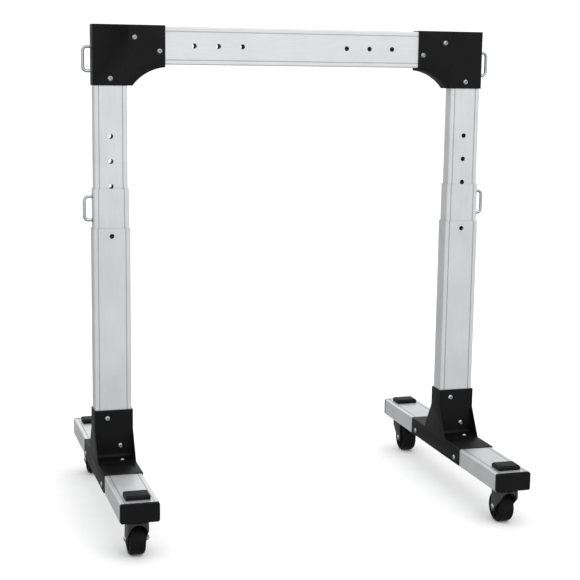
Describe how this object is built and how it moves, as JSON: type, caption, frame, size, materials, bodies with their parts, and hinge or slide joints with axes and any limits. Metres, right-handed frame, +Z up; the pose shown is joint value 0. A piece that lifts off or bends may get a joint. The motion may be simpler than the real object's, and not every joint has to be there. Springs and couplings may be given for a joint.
{
  "type": "portable gantry crane",
  "caption": "Portable gantry crane: a box beam on telescoping aluminium legs that stand on foot beams with swivel casters.",
  "frame": {"origin": "on the floor, midway between the legs and midway along the feet", "axes": "+X along the beam towards the right leg, +Y along the feet towards the side that the lock knobs are on, +Z up"},
  "size_m": [1.397, 1.02, 1.596],
  "materials": {
    "aluminium": "satin extruded aluminium",
    "black_powder_coat": "satin black powder coat on folded steel",
    "zinc_plate": "bright zinc plate",
    "fork_steel": "dark grey coat on pressed steel",
    "wheel_rubber": "matt moulded rubber",
    "black_plastic": "moulded plastic with a fine grain",
    "glide_nylon": "natural nylon strip"
  },
  "bodies": {
    "left_base": {"left_outer_tube": "aluminium", "left_outer_glides": "glide_nylon", "left_outer_lock_body": "black_powder_coat", "left_socket": "black_powder_coat", "left_saddle": "black_powder_coat", "left_base_bolts": "zinc_plate", "left_base_nuts": "zinc_plate", "left_foot_beam": "aluminium", "left_end_caps": "black_plastic", "left_foot_covers": "black_plastic", "left_caster_plates": "fork_steel", "left_caster_bolts": "zinc_plate"},
    "left_middle": {"left_middle_tube": "aluminium", "left_middle_handle": "zinc_plate", "left_middle_glides": "glide_nylon", "left_middle_lock_body": "black_powder_coat"},
    "upper_frame": {"main_beam": "aluminium", "corner_bolts": "zinc_plate", "corner_nuts": "zinc_plate", "upper_handles": "zinc_plate", "left_corner_bracket": "black_powder_coat", "left_inner_tube": "aluminium", "right_corner_bracket": "black_powder_coat", "right_inner_tube": "aluminium"},
    "right_middle": {"right_middle_tube": "aluminium", "right_middle_handle": "zinc_plate", "right_middle_glides": "glide_nylon", "right_middle_lock_body": "black_powder_coat"},
    "right_base": {"right_outer_tube": "aluminium", "right_outer_glides": "glide_nylon", "right_outer_lock_body": "black_powder_coat", "right_socket": "black_powder_coat", "right_saddle": "black_powder_coat", "right_base_bolts": "zinc_plate", "right_base_nuts": "zinc_plate", "right_foot_beam": "aluminium", "right_end_caps": "black_plastic", "right_foot_covers": "black_plastic", "right_caster_plates": "fork_steel", "right_caster_bolts": "zinc_plate"},
    "left_outer_lock": {"left_outer_lock_pin": "zinc_plate"},
    "left_middle_lock": {"left_middle_lock_pin": "zinc_plate"},
    "right_outer_lock": {"right_outer_lock_pin": "zinc_plate"},
    "right_middle_lock": {"right_middle_lock_pin": "zinc_plate"},
    "front_left_swivel": {"front_left_fork": "fork_steel", "front_left_axle": "zinc_plate"},
    "front_left_roller": {"front_left_wheel": "wheel_rubber", "front_left_bush": "zinc_plate"},
    "back_left_swivel": {"back_left_fork": "fork_steel", "back_left_axle": "zinc_plate"},
    "back_left_roller": {"back_left_wheel": "wheel_rubber", "back_left_bush": "zinc_plate"},
    "front_right_swivel": {"front_right_fork": "fork_steel", "front_right_axle": "zinc_plate"},
    "front_right_roller": {"front_right_wheel": "wheel_rubber", "front_right_bush": "zinc_plate"},
    "back_right_swivel": {"back_right_fork": "fork_steel", "back_right_axle": "zinc_plate"},
    "back_right_roller": {"back_right_wheel": "wheel_rubber", "back_right_bush": "zinc_plate"}
  },
  "joints": [
    {"name": "left_middle_lift", "type": "slide", "parent": "left_base", "child": "left_middle", "axis": [0, 0, 1], "range_m": [0, 0.32]},
    {"name": "upper_lift", "type": "slide", "parent": "left_middle", "child": "upper_frame", "axis": [0, 0, 1], "range_m": [-0.24, 0.24]},
    {"name": "right_upper_lift", "type": "slide", "parent": "upper_frame", "child": "right_middle", "axis": [0, 0, 1], "range_m": [-0.24, 0.24]},
    {"name": "right_middle_lift", "type": "slide", "parent": "right_middle", "child": "right_base", "axis": [0, 0, 1], "range_m": [-0.32, 0]},
    {"name": "left_outer_lock_slide", "type": "slide", "parent": "left_base", "child": "left_outer_lock", "axis": [0, -1, 0], "range_m": [0, 0.0095]},
    {"name": "left_middle_lock_slide", "type": "slide", "parent": "left_middle", "child": "left_middle_lock", "axis": [0, -1, 0], "range_m": [0, 0.0095]},
    {"name": "right_outer_lock_slide", "type": "slide", "parent": "right_base", "child": "right_outer_lock", "axis": [0, -1, 0], "range_m": [0, 0.0095]},
    {"name": "right_middle_lock_slide", "type": "slide", "parent": "right_middle", "child": "right_middle_lock", "axis": [0, -1, 0], "range_m": [0, 0.0095]},
    {"name": "front_left_swivel_turn", "type": "hinge", "parent": "left_base", "child": "front_left_swivel", "pos_m": [-0.61, -0.45, 0.11], "axis": [0, 0, 1], "continuous": true},
    {"name": "front_left_roller_spin", "type": "hinge", "parent": "front_left_swivel", "child": "front_left_roller", "pos_m": [-0.61, -0.428, 0.05], "axis": [1, 0, 0], "continuous": true},
    {"name": "back_left_swivel_turn", "type": "hinge", "parent": "left_base", "child": "back_left_swivel", "pos_m": [-0.61, 0.45, 0.11], "axis": [0, 0, 1], "continuous": true},
    {"name": "back_left_roller_spin", "type": "hinge", "parent": "back_left_swivel", "child": "back_left_roller", "pos_m": [-0.61, 0.428, 0.05], "axis": [1, 0, 0], "continuous": true},
    {"name": "front_right_swivel_turn", "type": "hinge", "parent": "right_base", "child": "front_right_swivel", "pos_m": [0.61, -0.45, 0.11], "axis": [0, 0, 1], "continuous": true},
    {"name": "front_right_roller_spin", "type": "hinge", "parent": "front_right_swivel", "child": "front_right_roller", "pos_m": [0.61, -0.428, 0.05], "axis": [1, 0, 0], "continuous": true},
    {"name": "back_right_swivel_turn", "type": "hinge", "parent": "right_base", "child": "back_right_swivel", "pos_m": [0.61, 0.45, 0.11], "axis": [0, 0, 1], "continuous": true},
    {"name": "back_right_roller_spin", "type": "hinge", "parent": "back_right_swivel", "child": "back_right_roller", "pos_m": [0.61, 0.428, 0.05], "axis": [1, 0, 0], "continuous": true}
  ],
  "couplings": [
    {"joint": "right_upper_lift", "follows": "upper_lift", "ratio": -1},
    {"joint": "right_middle_lift", "follows": "left_middle_lift", "ratio": -1}
  ]
}
